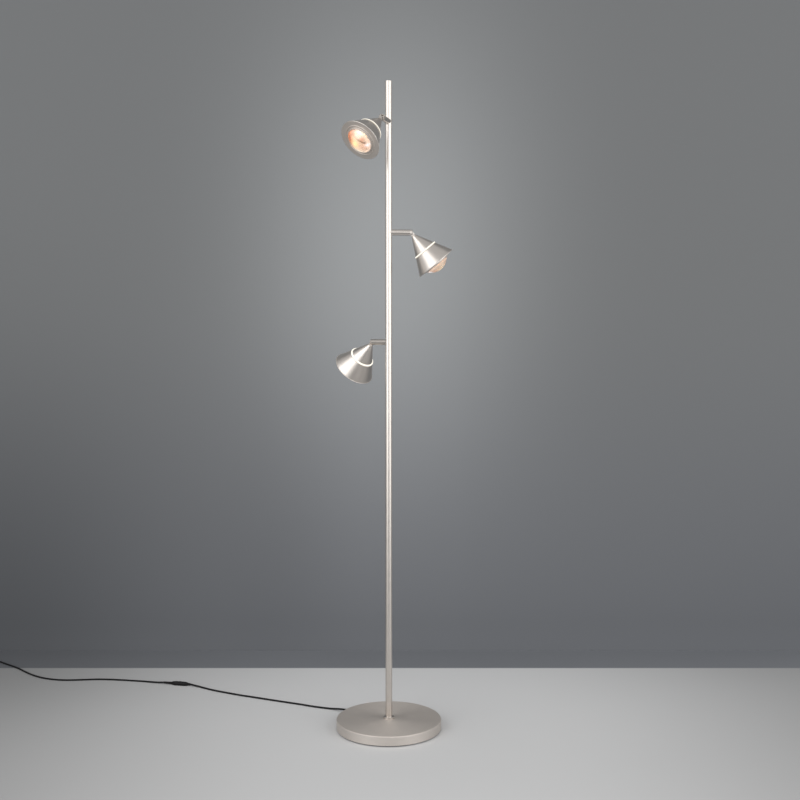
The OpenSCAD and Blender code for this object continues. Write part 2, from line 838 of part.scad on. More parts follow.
// Centre line of the coil at k steps from its start
coil_half = coil_turns / 2;
function coil_layer(t) = t < coil_half - 0.25 ? 0 : t > coil_half + 0.25 ? 1 : 2 * (t - coil_half + 0.25);
function coil_point(k) =
    let (
        t = k / coil_steps,
        r = coil_r - coil_pitch * (coil_half - abs(t - coil_half)),
        a = coil_from + 360 * t
    )
    [coil_at.x + r * cos(a), coil_at.y + r * sin(a), cord_z + coil_rise * coil_layer(t)];
coil_count = coil_turns * coil_steps;
coil_in_az = coil_from + 90;
coil_out_az = coil_from + 360 * coil_turns + 90;
coil_start = coil_point(0) - coil_lead * along(coil_in_az);
coil_end = coil_point(coil_count) + plug_lead * along(coil_out_az);
coil_path = concat([coil_start], [for (k = [0:coil_count]) coil_point(k)], [coil_end]);
coil_gaps = [
    for (i = [1:coil_count], j = [1:coil_count]) if (j > i + coil_steps / 2) norm(coil_path[j] - coil_path[i])
];
echo("least gap between the coil's turns", min(coil_gaps) - cord_d);

module cord_coil() {
    color(black) tube(coil_path, cord_r, coil_sides, along(coil_in_az), along(coil_out_az));
}

module cord_far() {
    path = curve(concat([far_start], far_route, [coil_start]), 2);
    color(black) tube(path, cord_r, cord_sides, along(switch_az), along(coil_in_az));
}

// Frame of the plug: at the end of the cord, +X towards its pins
module at_plug() {
    translate(coil_end) rotate([0, 0, coil_out_az]) children();
}

module plug_body() {
    body_from = plug_boot_l;
    body_to = plug_boot_l + plug_l;
    color(black) at_plug() difference() {
        union() {
            rotate([0, 90, 0]) turned([
                [0, 0], [cord_r + 0.6, 0], [plug_boot_r, plug_boot_l], [plug_boot_r, plug_boot_l + 4],
                [0, plug_boot_l + 4]
            ]);
            translate([0, 0, -plug_h / 2]) linear_extrude(plug_h) polygon([
                [body_from, -plug_nose_w / 2], [body_from, plug_nose_w / 2],
                [body_from + 14, plug_w / 2], [body_to - 2, plug_w / 2], [body_to, plug_w / 2 - 2],
                [body_to, 2 - plug_w / 2], [body_to - 2, -plug_w / 2], [body_from + 14, -plug_w / 2]
            ]);
        }
        for (s = [-1, 1]) translate([body_to - pin_root, s * pin_gap / 2, 0]) rotate([0, 90, 0])
            cylinder(d = pin_root_d + fit_gap / 2, h = plug_pin_l);
    }
}

module plug_pins() {
    root = plug_boot_l + plug_l - pin_root;
    tip = root + pin_root + plug_pin_l;
    r = plug_pin_d / 2;
    color(steel) at_plug() for (s = [-1, 1]) translate([0, s * pin_gap / 2, 0]) rotate([0, 90, 0])
        turned([
            [0, root], [pin_root_d / 2, root], [pin_root_d / 2, root + pin_root + pin_step],
            [r, root + pin_root + pin_step],
            [r, tip - pin_tip_r], [r - pin_tip_r, tip], [0, tip]
        ]);
}

base_cover();
base_weight();
base_plate();
base_pad();
base_screws();
driver();
inner_wires();
cord_gland();
pole_collar();
pole_foot_stud();
pole_washer();
pole_nut();
pole_tube();
pole_cap();
arm_nipples();
arm_bushes();
upper_arm();
middle_arm();
lower_arm();
upper_fork();
upper_hinge_screw();
upper_neck();
upper_tip_shell();
upper_light_ring();
upper_shade();
upper_front_plate();
upper_lens();
upper_reflector();
upper_led_module();
middle_fork();
middle_hinge_screw();
middle_neck();
middle_tip_shell();
middle_light_ring();
middle_shade();
middle_front_plate();
middle_lens();
middle_reflector();
middle_led_module();
lower_fork();
lower_hinge_screw();
lower_neck();
lower_tip_shell();
lower_light_ring();
lower_shade();
lower_front_plate();
lower_lens();
lower_reflector();
lower_led_module();
cord_near();
switch_base();
switch_cover();
switch_button();
switch_spring();
switch_contacts();
switch_boots();
cord_far();
cord_coil();
plug_body();
plug_pins();
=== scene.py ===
# Floor lamp with three cone spotlights in satin nickel.
# Metres, Z up, origin under the middle of the foot pad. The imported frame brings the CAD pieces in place.
import math

import bpy
import numpy as np
from mathutils import Matrix, Vector


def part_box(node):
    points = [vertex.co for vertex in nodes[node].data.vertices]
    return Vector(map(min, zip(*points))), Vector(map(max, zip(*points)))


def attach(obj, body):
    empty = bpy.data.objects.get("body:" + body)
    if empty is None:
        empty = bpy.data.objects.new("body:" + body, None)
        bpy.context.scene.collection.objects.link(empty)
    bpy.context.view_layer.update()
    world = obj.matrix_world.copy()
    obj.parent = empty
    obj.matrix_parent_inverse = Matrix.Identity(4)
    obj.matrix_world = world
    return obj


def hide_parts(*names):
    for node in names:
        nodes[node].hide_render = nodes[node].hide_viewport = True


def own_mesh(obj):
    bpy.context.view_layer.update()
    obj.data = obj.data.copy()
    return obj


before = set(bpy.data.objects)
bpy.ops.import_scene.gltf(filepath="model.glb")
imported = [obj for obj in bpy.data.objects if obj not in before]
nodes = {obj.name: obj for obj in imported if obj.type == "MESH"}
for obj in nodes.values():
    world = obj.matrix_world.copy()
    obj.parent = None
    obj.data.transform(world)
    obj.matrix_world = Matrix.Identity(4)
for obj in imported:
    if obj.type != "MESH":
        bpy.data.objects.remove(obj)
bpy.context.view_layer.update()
scene = bpy.context.scene
scene.view_settings.view_transform = "Standard"
print("frame loaded:", len(nodes), "nodes")

# Camera at the photograph's viewing angle, pitched down a little
camera = {"place": (0.0266, -2.600, 0.927), "lens": 49.79, "sensor": 36.0, "pitchDown": 3.1}


def newObject(name, data):
    obj = bpy.data.objects.new(name, data)
    scene.collection.objects.link(obj)
    return obj


def makeCamera():
    data = bpy.data.cameras.new("camera")
    data.lens = camera["lens"]
    data.sensor_width = camera["sensor"]
    obj = newObject("camera", data)
    obj.location = camera["place"]
    obj.rotation_euler = (math.radians(90 - camera["pitchDown"]), 0, 0)
    scene.camera = obj


makeCamera()
print("camera placed")


# Where each head sits: height of its arm, direction of the arm, tilt and turn of the head
heads = {
    "upper": {"height": 1.4335, "azimuth": 254, "tilt": 48, "turn": -28},
    "middle": {"height": 1.178, "azimuth": 5, "tilt": 50, "turn": 0},
    "lower": {"height": 0.9225, "azimuth": 137, "tilt": 44, "turn": -3},
}
pivotOut = 0.052                # from the pole's axis to a head's pivot


def rotation(degrees, axis):
    return Matrix.Rotation(math.radians(degrees), 4, axis)


# Frame of an arm: origin on the pole's axis, +X out along the arm
def armPlace(key):
    head = heads[key]
    return Matrix.Translation((0, 0, head["height"])) @ rotation(head["azimuth"], "Z")


# Frame of a head: pivot at the origin, +Z out along the cone's axis
def headPlace(key):
    head = heads[key]
    turned = armPlace(key) @ rotation(head["turn"], "X")
    return turned @ Matrix.Translation((pivotOut, 0, 0)) @ rotation(90 + head["tilt"], "Y")


# A mesh from its vertices and faces, with a normal for each vertex if they are given
def makeMesh(name, points, faces, normals=None, smooth=True):
    mesh = bpy.data.meshes.new(name)
    mesh.from_pydata(np.asarray(points, float), [], faces)
    mesh.polygons.foreach_set("use_smooth", np.full(len(mesh.polygons), smooth))
    if normals is not None:
        mesh.normals_split_custom_set_from_vertices(np.asarray(normals, np.float32))
    mesh.update()
    return newObject(name, mesh)


# A piece made here rides its body, and the nodes that it stands for are hidden; its slot is not used
def joinFrame(piece, body, slot, *standsFor):
    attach(piece, body)
    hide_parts(*standsFor)


# Quads of a grid whose rows are closed rings: corners (j, k), (j, k + 1), (j + 1, k + 1) and (j + 1, k)
def ringQuads(rows, columns, loop):
    j, k = np.indices((rows if loop else rows - 1, columns))
    after, beside = (j + 1) % rows, (k + 1) % columns
    corners = [j * columns + k, j * columns + beside, after * columns + beside, after * columns + k]
    return np.stack(corners, axis=-1).reshape(-1, 4)


poleWithin = 1e-7               # a point of an outline this near the axis is a pole


# A surface of revolution: point (j, k) = (r_j cos a_k, r_j sin a_k, d_j), carried into place. The outline
# runs counter-clockwise in (r, d), closed in itself or from pole to pole. Without normals its facets are flat
def turnedPiece(name, outline, normals, place, segments, loop):
    outline = np.asarray(outline, float)
    angle = np.linspace(0, 2 * math.pi, segments, endpoint=False)
    around = np.stack([np.cos(angle), np.sin(angle), np.zeros(segments)], axis=-1)
    turn = np.array(place.to_3x3())

    def spin(rows):
        return (rows[:, None, :1] * around + rows[:, None, 1:] * [0, 0, 1]).reshape(-1, 3) @ turn.T

    points = spin(outline) + np.array(place.translation)
    atPole = outline[:, 0] < poleWithin
    keep = np.repeat(~atPole, segments)
    keep[np.flatnonzero(atPole) * segments] = True      # one vertex for each pole
    index = np.cumsum(keep) - 1
    quads = index[ringQuads(len(outline), segments, loop)].tolist()
    faces = [list(dict.fromkeys(quad)) for quad in quads]       # a quad at a pole is a triangle
    if normals is None:
        return makeMesh(name, points[keep], faces, smooth=False)
    return makeMesh(name, points[keep], faces, spin(np.asarray(normals, float))[keep])


# An arc takes at most this share of the shorter side, and tan(turn / 2) counts as no less than straight
arcs = {"share": 0.45, "straight": 1e-6}


# Corner i of the outline becomes an arc of radius r that touches both its sides. It starts r * tan(turn / 2)
# before the corner, its centre is the start less the side's normal * r, its points are centre + normal * r
def roundedOutline(corners, radii, steps=4, loop=True):
    corners = np.asarray(corners, float)
    radii = np.broadcast_to(radii, len(corners))
    into, out = corners - np.roll(corners, 1, axis=0), np.roll(corners, -1, axis=0) - corners
    lengthIn, lengthOut = np.hypot(*into.T)[:, None], np.hypot(*out.T)[:, None]
    sideIn, sideOut = into[:, ::-1] * [1, -1] / lengthIn, out[:, ::-1] * [1, -1] / lengthOut
    crossed = sideIn[:, 0] * sideOut[:, 1] - sideIn[:, 1] * sideOut[:, 0]
    turn = np.arctan2(crossed, (sideIn * sideOut).sum(axis=1))
    slack = np.maximum(np.abs(np.tan(turn / 2)), arcs["straight"])
    radius = np.minimum(radii, arcs["share"] * np.minimum(lengthIn, lengthOut)[:, 0] / slack)[:, None]
    bend = np.where(turn < 0, -1.0, 1.0)[:, None] * radius
    start = corners - into / lengthIn * radius * slack[:, None]
    angle = np.arctan2(sideIn[:, 1], sideIn[:, 0])[:, None] + turn[:, None] * np.linspace(0, 1, steps + 1)
    normals = np.stack([np.cos(angle), np.sin(angle)], axis=-1)
    points = (start - sideIn * bend)[:, None] + normals * bend[:, None]
    if loop:
        return points.reshape(-1, 2), normals.reshape(-1, 2)
    ends = np.sign([[0, sideOut[0, 1]], [0, sideIn[-1, 1]]])    # both ends lie on the axis
    return (np.vstack([corners[:1], points[1:-1].reshape(-1, 2), corners[-1:]]),
            np.vstack([ends[:1], normals[1:-1].reshape(-1, 2), ends[1:]]))


# Cord: real sizes, and the points that its centre line passes through, on the floor where no height is given
cord = {
    "diameter": 0.0045, "sides": 16, "steps": 6, "lie": 0.00225,
    "glandAzimuth": 135, "glandReach": 0.147, "glandHeight": 0.00915,
    "near": [
        (-0.112, 0.1115, 0.0078), (-0.128, 0.1245, 0.0048), (-0.146, 0.133, 0.0028), (-0.164, 0.140, 0.0023),
        (-0.195, 0.152), (-0.226, 0.167), (-0.258, 0.181), (-0.290, 0.195), (-0.323, 0.210), (-0.356, 0.225),
        (-0.389, 0.2395), (-0.423, 0.257), (-0.457, 0.2755), (-0.476, 0.287), (-0.494, 0.2995, 0.00235),
        (-0.512, 0.311, 0.00315),
    ],
    "far": [
        (-0.634, 0.3465, 0.0031), (-0.667, 0.3565, 0.00235), (-0.701, 0.3635), (-0.735, 0.3695),
        (-0.769, 0.374), (-0.802, 0.375), (-0.834, 0.372), (-0.865, 0.3685), (-0.895, 0.369),
        (-0.920, 0.3745), (-0.945, 0.384), (-0.972, 0.4005), (-0.998, 0.422), (-1.024, 0.4485),
        (-1.050, 0.476), (-1.075, 0.4985), (-1.099, 0.518), (-1.124, 0.5395), (-1.150, 0.5605),
    ],
}
switch = {"place": (-0.565, 0.3305), "azimuth": 167, "height": 0.009, "nearReach": 0.030, "farReach": 0.046}
# Coil at the far end: from is the azimuth where it starts, layerOver the turns in which it changes its layer
coil = {
    "centre": (-1.200, 0.555), "radius": 0.0312, "pitch": 0.0052, "rise": 0.005, "turns": 3.25, "from": 60,
    "layerOver": 0.5, "steps": 48, "leadIn": 0.006, "plugLead": 0.022,
}


def along(azimuth):
    return np.array([math.cos(math.radians(azimuth)), math.sin(math.radians(azimuth)), 0.0])


# Points without a height get the one at which the cord lies
def lying(points):
    return [np.array(p if len(p) == 3 else (*p, cord["lie"])) for p in points]


# Cubic Hermite through all points, each tangent half the chord between its neighbours
def smoothPath(points, steps):
    p = np.asarray(points, float)
    tangent = np.gradient(p, axis=0)
    t = np.linspace(0, 1, steps, endpoint=False)[None, :, None]
    curve = (2 * t**3 - 3 * t**2 + 1) * p[:-1, None] + (t**3 - 2 * t**2 + t) * tangent[:-1, None]
    curve = curve + (3 * t**2 - 2 * t**3) * p[1:, None] + (t**3 - t**2) * tangent[1:, None]
    return np.vstack([curve.reshape(-1, 3), p[-1:]])


# In and out again in two layers: r = radius - pitch * (half - |t - half|), a = start + 360 t, with t in turns
def coilPath():
    t = np.arange(int(coil["turns"] * coil["steps"]) + 1) / coil["steps"]
    half = coil["turns"] / 2
    r = coil["radius"] - coil["pitch"] * (half - np.abs(t - half))
    a = np.radians(coil["from"] + 360 * t)
    layer = np.clip((t - half) / coil["layerOver"] + 0.5, 0, 1)
    x, y = coil["centre"]
    return np.stack([x + r * np.cos(a), y + r * np.sin(a), cord["lie"] + coil["rise"] * layer], axis=-1)


# A circle of radius r carried along the path: point = centre + r (cos b * side + sin b * up), with side =
# direction x Z. Its UV is once round across, and metres of length along
def tubeAlong(name, path, radius, sides):
    path = np.asarray(path, float)
    direction = np.gradient(path, axis=0)
    direction /= np.linalg.norm(direction, axis=1, keepdims=True)
    side = np.cross(direction, [0, 0, 1])
    side /= np.linalg.norm(side, axis=1, keepdims=True)
    up = np.cross(side, direction)
    angle = np.linspace(0, 2 * math.pi, sides, endpoint=False)
    around = side[:, None] * np.cos(angle)[None, :, None] + up[:, None] * np.sin(angle)[None, :, None]
    points = (path[:, None] + radius * around).reshape(-1, 3)
    ends = [list(range(sides))[::-1], list(range(len(points) - sides, len(points)))]
    obj = makeMesh(name, points, ringQuads(len(path), sides, False).tolist() + ends)
    run = np.concatenate([[0], np.cumsum(np.linalg.norm(np.diff(path, axis=0), axis=1))])
    i, k = np.indices((len(path) - 1, sides))
    across = np.stack([k, k + 1, k + 1, k], axis=-1) / sides
    lengthwise = run[np.stack([i, i, i + 1, i + 1], axis=-1)]
    uv = np.concatenate([np.stack([across, lengthwise], axis=-1).reshape(-1, 2), np.zeros((2 * sides, 2))])
    obj.data.uv_layers.new(name="jacket").data.foreach_set("uv", uv.astype(np.float32).ravel())
    return obj, run[-1]


def makeCords():
    glandTip = cord["glandReach"] * along(cord["glandAzimuth"]) + [0, 0, cord["glandHeight"]]
    switchMid = np.array([*switch["place"], switch["height"] / 2])
    nearEnd = switchMid - switch["nearReach"] * along(switch["azimuth"])
    farStart = switchMid + switch["farReach"] * along(switch["azimuth"])
    turns = coilPath()
    coilStart = turns[0] - coil["leadIn"] * along(coil["from"] + 90)
    coilEnd = turns[-1] + coil["plugLead"] * along(coil["from"] + 360 * coil["turns"] + 90)
    nearPath = smoothPath([glandTip, *lying(cord["near"]), nearEnd], cord["steps"])
    toCoil = smoothPath([farStart, *lying(cord["far"]), coilStart], cord["steps"])
    farPath = np.vstack([toCoil, turns, coilEnd[None]])
    near, nearLength = tubeAlong("cordToSwitch", nearPath, cord["diameter"] / 2, cord["sides"])
    far, farLength = tubeAlong("cordToPlug", farPath, cord["diameter"] / 2, cord["sides"])
    joinFrame(near, "stand", "cord_rubber", "cord_near")
    joinFrame(far, "stand", "cord_rubber", "cord_far", "cord_coil")
    print("cords: %.3f m to the switch, %.3f m to the plug" % (nearLength, farLength))


makeCords()

# Spring under the switch's button, which is squeezed as the button goes down
spring = {"wireRadius": 0.0003, "sides": 8, "turns": 4, "stepsPerTurn": 24, "travel": 0.001}


# Helix: (R cos a, R sin a) with a = 2 pi * turns * t, rising evenly with t between the ends of the node's box
def makeSpring():
    low, high = (np.array(corner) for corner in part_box("switch_spring"))
    wire, tall = spring["wireRadius"], high[2] - low[2]
    centre, radius = (low + high) / 2, (high[0] - low[0]) / 2 - wire
    t = np.linspace(0, 1, spring["turns"] * spring["stepsPerTurn"] + 1)
    angle = 2 * math.pi * spring["turns"] * t
    height = low[2] + wire + (tall - 2 * wire) * t
    path = np.stack([centre[0] + radius * np.cos(angle), centre[1] + radius * np.sin(angle), height], axis=-1)
    piece = tubeAlong("buttonSpring", path, wire, spring["sides"])[0]
    joinFrame(piece, "stand", "raw_steel", "switch_spring")
    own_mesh(piece)
    print("spring made:", round(tall * 1000, 2), "mm tall")


makeSpring()


# Head in its own frame: radii, and distances along the axis from the pivot. Edges are the radii to which the
# corners of an outline are rounded, in the outline's order
headShape = {
    "tipAt": 0.0102, "tipRadius": 0.0054, "rimAt": 0.093, "rimRadius": 0.050, "sheet": 0.0014,
    "tipBore": 0.0140, "flange": 0.002, "tipEdges": [0.0003, 0.0004, 0.0005, 0.0003, 0.0003, 0.0008],
    "ringAt": 0.051, "ringEnd": 0.0546, "ringProud": 0.0015, "ringBore": 0.0210,
    "ringEdges": [0.0003, 0.0015, 0.0015, 0.0003], "ringSteps": 8, "segments": 180,
    "shadeEdges": [0.0003, 0.0005, 0.0003, 0.0002, 0.0010, 0.0003],
}
frontShape = {
    "back": 0.0915, "spigotFrom": 0.090, "spigotRadius": 0.0467, "hole": 0.03015,
    "trimFrom": 0.0365, "trimTo": 0.0385, "trimHigh": 0.0012, "trimDraft": 0.0003,
    "collarRadius": 0.0322, "collarFront": 0.096, "segments": 192, "steps": 5,
    "edges": [0.0003, 0.0003, 0.0002, 0.0006, 0.0006, 0.0004, 0.0006, 0.0006, 0.0004, 0.0008, 0.0008, 0.0004],
}
# Of the lens, edges are for the inner dome's end, the skirt's two corners and the outer dome's start. The
# other points of both domes get the radius blend, which is more than any side allows
lensShape = {
    "radius": 0.030, "skirtFrom": 0.090, "domeFrom": 0.096, "domeHigh": 0.0155, "wall": 0.002,
    "innerPoints": 14, "outerPoints": 16, "steps": 2, "segments": 128,
    "blend": 0.05, "edges": [0.0004, 0.0003, 0.0003, 0.0006],
}
cupShape = {
    "from": 0.053, "to": 0.090, "neck": 0.008, "mouth": 0.028, "power": 0.62, "wall": 0.0009,
    "flange": 0.0318, "rows": 7, "facets": 28,
}


# Radius of the cone's outside: r = tip + (rim - tip) * (d - tipAt) / (rimAt - tipAt)
def coneRadius(d):
    h = headShape
    return h["tipRadius"] + (h["rimRadius"] - h["tipRadius"]) * (d - h["tipAt"]) / (h["rimAt"] - h["tipAt"])


# Radius of the cone's inside, a sheet's thickness in, measured square to the cone: sheet * root(1 + slope^2)
def boreRadius(d):
    h = headShape
    slope = (h["rimRadius"] - h["tipRadius"]) / (h["rimAt"] - h["tipAt"])
    return coneRadius(d) - h["sheet"] * math.hypot(1, slope)


# Small end of the cone, with a flange inside that the ring sits on
def tipShellOutline():
    h, tip, ring = headShape, headShape["tipAt"], headShape["ringAt"]
    back = ring - h["flange"]
    corners = [
        (boreRadius(tip), tip), (h["tipRadius"], tip), (coneRadius(ring), ring),
        (h["tipBore"], ring), (h["tipBore"], back), (boreRadius(back), back),
    ]
    return roundedOutline(corners, h["tipEdges"])


# Flat ring that stands proud of the cone, with a round outer edge
def ringOutline():
    h = headShape
    outer = coneRadius((h["ringAt"] + h["ringEnd"]) / 2) + h["ringProud"]
    corners = [(radius, h["ringAt"]) for radius in (h["ringBore"], outer)]
    corners += [(radius, h["ringEnd"]) for radius in (outer, h["ringBore"])]
    return roundedOutline(corners, h["ringEdges"], steps=h["ringSteps"])


# Large end of the cone, from the flange at the ring to the front plate
def shadeOutline():
    h, back = headShape, frontShape["back"]
    inside = h["ringEnd"] + h["flange"]
    corners = [
        (h["ringBore"], h["ringEnd"]), (coneRadius(h["ringEnd"]), h["ringEnd"]), (coneRadius(back), back),
        (boreRadius(back), back), (boreRadius(inside), inside), (h["ringBore"], inside),
    ]
    return roundedOutline(corners, h["shadeEdges"])


# Plate over the cone's end: spigot, rolled rim, low trim and the collar round the lens
def frontOutline():
    f, rim, face = frontShape, headShape["rimRadius"], headShape["rimAt"]
    draft, trimTop = f["trimDraft"], face + f["trimHigh"]
    corners = [
        (f["hole"], f["spigotFrom"]), (f["spigotRadius"], f["spigotFrom"]), (f["spigotRadius"], f["back"]),
        (rim, f["back"]), (rim, face), (f["trimTo"], face), (f["trimTo"] - draft, trimTop),
        (f["trimFrom"] + draft, trimTop), (f["trimFrom"], face), (f["collarRadius"], face),
        (f["collarRadius"], f["collarFront"]), (f["hole"], f["collarFront"]),
    ]
    return roundedOutline(corners, f["edges"], steps=f["steps"])


# Cap of a sphere: R = (r^2 + h^2) / 2h, points at equal angles from the axis out to radius r
def domeArc(radius, high, foot, count):
    sphere = (radius**2 + high**2) / (2 * high)
    angle = np.linspace(0, math.asin(radius / sphere), count)
    return np.stack([sphere * np.sin(angle), foot + high - sphere + sphere * np.cos(angle)], axis=-1)


# Dome with a skirt, from the pole of its inside to the pole of its outside
def lensOutline():
    n = lensShape
    inner = domeArc(n["radius"] - n["wall"], n["domeHigh"] - n["wall"], n["domeFrom"], n["innerPoints"])
    outer = domeArc(n["radius"], n["domeHigh"], n["domeFrom"], n["outerPoints"])[::-1]
    skirt = [(n["radius"] - n["wall"], n["skirtFrom"]), (n["radius"], n["skirtFrom"])]
    corners = np.vstack([inner, skirt, outer])
    radii = np.full(len(corners), n["blend"])
    first = len(inner) - 1
    radii[first:first + len(n["edges"])] = n["edges"]
    return roundedOutline(corners, radii, steps=n["steps"], loop=False)


# Reflector: r = neck + (mouth - neck) * t^power, d = from + (to - from) * t, with a flange at its mouth. It
# has no normals, as its facets are flat
def cupOutline():
    c = cupShape
    t = np.linspace(0, 1, c["rows"])
    radius = c["neck"] + (c["mouth"] - c["neck"]) * t**c["power"]
    inner = np.stack([radius, c["from"] + (c["to"] - c["from"]) * t], axis=-1)
    outer = inner + [c["wall"], 0]
    outer[-1, 1] -= c["wall"]
    return np.vstack([outer, [(c["flange"], c["to"] - c["wall"]), (c["flange"], c["to"])], inner[::-1]]), None


# Each turned piece: its node, its outline, how finely it is divided, its slot, whether the outline is closed
turnedPieces = {
    "TipCone": ("tip_shell", tipShellOutline, headShape["segments"], "satin_nickel", True),
    "LightRing": ("light_ring", ringOutline, headShape["segments"], "light_ring", True),
    "Shade": ("shade", shadeOutline, headShape["segments"], "satin_nickel", True),
    "FrontPlate": ("front_plate", frontOutline, frontShape["segments"], "satin_nickel", True),
    "Lens": ("lens", lensOutline, lensShape["segments"], "lens", False),
    "Cup": ("reflector", cupOutline, cupShape["facets"], "reflector", True),
}


def makeHeads():
    for key in heads:
        for name, (node, outlineOf, segments, slot, loop) in turnedPieces.items():
            outline, normals = outlineOf()
            piece = turnedPiece(key + name, outline, normals, headPlace(key), segments, loop)
            joinFrame(piece, key + "_head", slot, key + "_" + node)
    print("heads made:", len(heads) * len(turnedPieces), "turned pieces")


makeHeads()


# Shader maths: an expression on values adds its Math nodes
class Value:
    def __init__(self, finish, socket):
        self.finish, self.socket = finish, socket

    def __add__(self, other):
        return self.finish.maths("ADD", self, other)

    def __sub__(self, other):
        return self.finish.maths("SUBTRACT", self, other)

    def __rsub__(self, other):
        return self.finish.maths("SUBTRACT", other, self)

    def __mul__(self, other):
        return self.finish.maths("MULTIPLY", self, other)

    def __truediv__(self, other):
        return self.finish.maths("DIVIDE", self, other)

    __radd__ = __add__
    __rmul__ = __mul__


# One material with a Principled shader, and the node calls that its patterns need
class Finish:
    def __init__(self, name, **fixed):
        self.material = bpy.data.materials.new(name)
        self.material.use_nodes = True
        self.tree = self.material.node_tree
        self.shader = self.tree.nodes["Principled BSDF"]
        self.feed(**fixed)

    # A node of any type: its settings first, then the values or links of its sockets
    def add(self, kind, settings=None, sockets=None, out=0):
        node = self.tree.nodes.new(kind)
        for name, value in (settings or {}).items():
            setattr(node, name, value)
        for name, value in (sockets or {}).items():
            self.connect(value, node.inputs[name])
        return Value(self, node.outputs[out])

    def connect(self, value, socket):
        if isinstance(value, Value):
            self.tree.links.new(value.socket, socket)
        else:
            socket.default_value = value

    # Sockets of the shader by their names without spaces
    def feed(self, **sockets):
        names = {socket.name.replace(" ", ""): socket for socket in self.shader.inputs}
        for name, value in sockets.items():
            self.connect(value, names[name])

    # Object coordinates, or those of the frame that place gives
    def coordinates(self, place=None):
        point = self.add("ShaderNodeTexCoord", out="Object")
        if place is None:
            return point
        return self.add("ShaderNodeMapping", {"vector_type": "TEXTURE"}, {
            "Vector": point, "Location": tuple(place.translation), "Rotation": tuple(place.to_euler("XYZ"))})

    def parts(self, vector):
        split = self.add("ShaderNodeSeparateXYZ", sockets={0: vector})
        return [Value(self, split.socket.node.outputs[i]) for i in range(3)]

    def vector(self, x, y, z):
        return self.add("ShaderNodeCombineXYZ", sockets={0: x, 1: y, 2: z})

    def noise(self, vector, scale, detail=2.0, roughness=0.5):
        return self.add("ShaderNodeTexNoise", sockets={
            "Vector": vector, "Scale": scale, "Detail": detail, "Roughness": roughness})

    def mix(self, factor, first, second):
        first, second = ((*c, 1) if isinstance(c, tuple) else c for c in (first, second))
        return self.add("ShaderNodeMix", {"data_type": "RGBA"}, {0: factor, 6: first, 7: second}, out=2)

    def bump(self, height, distance, strength):
        self.feed(Normal=self.add("ShaderNodeBump", sockets={
            "Height": height, "Distance": distance, "Strength": strength}))

    def maths(self, operation, *values):
        return self.add("ShaderNodeMath", {"operation": operation}, dict(enumerate(values)))

    # Root of x * x + y * y
    def length(self, x, y):
        return self.maths("SQRT", x * x + y * y)

    # An angle as a point on a circle, so that a pattern closes round the axis
    def circle(self, angle, size):
        return self.maths("COSINE", angle) * size, self.maths("SINE", angle) * size

    # exp(-square)
    def bell(self, square):
        return self.maths("EXPONENT", 0 - square)

    # 0 below low, 1 above high, smooth between
    def step(self, value, low, high):
        return self.add("ShaderNodeMapRange", {"interpolation_type": "SMOOTHSTEP"}, {
            "Value": value, "From Min": low, "From Max": high})

    # 1 below low, 0 above high, smooth between
    def fade(self, value, low, high):
        return 1 - self.step(value, low, high)


black = (0.0, 0.0, 0.0)


def toned(colour, factor):
    return tuple(min(1.0, c * factor) for c in colour)


# Satin nickel: its two tones, and how each kind of piece differs from the plain finish. An edge is where the
# colour, roughness and lines change, along the radius or the axis, and to what; even is how far the lines
# fade there
nickel = {
    "light": (0.770, 0.718, 0.670), "dark": (0.680, 0.628, 0.580),
    "unevenness": 1.6, "lineDepth": 0.00004, "cloudScale": 38.0,
}
nickelLooks = {
    "base": {"tone": 0.97, "lineScale": 2600, "roughness": 0.70, "anisotropic": 0.22, "edge": {
        "along": "radius", "from": 0.12485, "to": 0.12498, "tone": 0.95, "roughness": -0.20, "even": 1.0}},
    # Pole: darker at its foot and lighter from 0.45 m up, a painted shade on its lower part
    "pole": {"tone": 0.88, "edge": {
        "along": "axis", "from": 0.04, "to": 0.45, "tone": 1.20, "roughness": 0.0, "even": 0.0}},
    "arm": {"roughness": 0.30},
    # Fork: its end face is darker, a painted shade that dims the reflection on it, and rougher
    "fork": {"roughness": 0.30, "edge": {
        "along": "axis", "from": 0.0549, "to": 0.0555, "tone": 0.42, "roughness": 0.22, "even": 0.0}},
    "head": {},
    # Plate: its rim is smoother, as a polished rim, and lighter, a painted highlight along it
    "plate": {"tone": 1.02, "roughness": 0.60, "edge": {
        "along": "radius", "from": 0.0488, "to": 0.0496, "tone": 1.28, "roughness": -0.25, "even": 0.5}},
}


# Fine lines run round the axis of place, a little uneven in depth from side to side
def spunNickel(name, place=None, tone=1.0, lineScale=5200, roughness=0.36, anisotropic=0.0, edge=None):
    f = Finish(name, Metallic=1.0, Anisotropic=anisotropic, AnisotropicRotation=0.25)
    point = f.coordinates(place)
    x, y, z = f.parts(point)
    radius, turn = f.length(x, y), f.maths("ARCTAN2", y, x)
    across = (radius + z) * lineScale
    lines = f.noise(f.vector(across, *f.circle(turn, nickel["unevenness"])), 1.0, 3.0, 0.6)
    cloud = f.noise(point, nickel["cloudScale"], 3.0)
    light, dark = toned(nickel["light"], tone), toned(nickel["dark"], tone)
    extra = 0.0
    if edge:
        at = f.step(radius if edge["along"] == "radius" else z, edge["from"], edge["to"])
        light, dark = (f.mix(at, shade, toned(shade, edge["tone"])) for shade in (light, dark))
        lines = lines + (0.5 - lines) * at * edge["even"]
        extra = at * edge["roughness"]
    f.feed(BaseColor=f.mix(cloud * 0.55 + lines * 0.45, dark, light),
           Roughness=roughness - 0.11 + lines * 0.14 + cloud * 0.08 + extra)
    f.bump(lines, nickel["lineDepth"], 0.35)
    return f.material


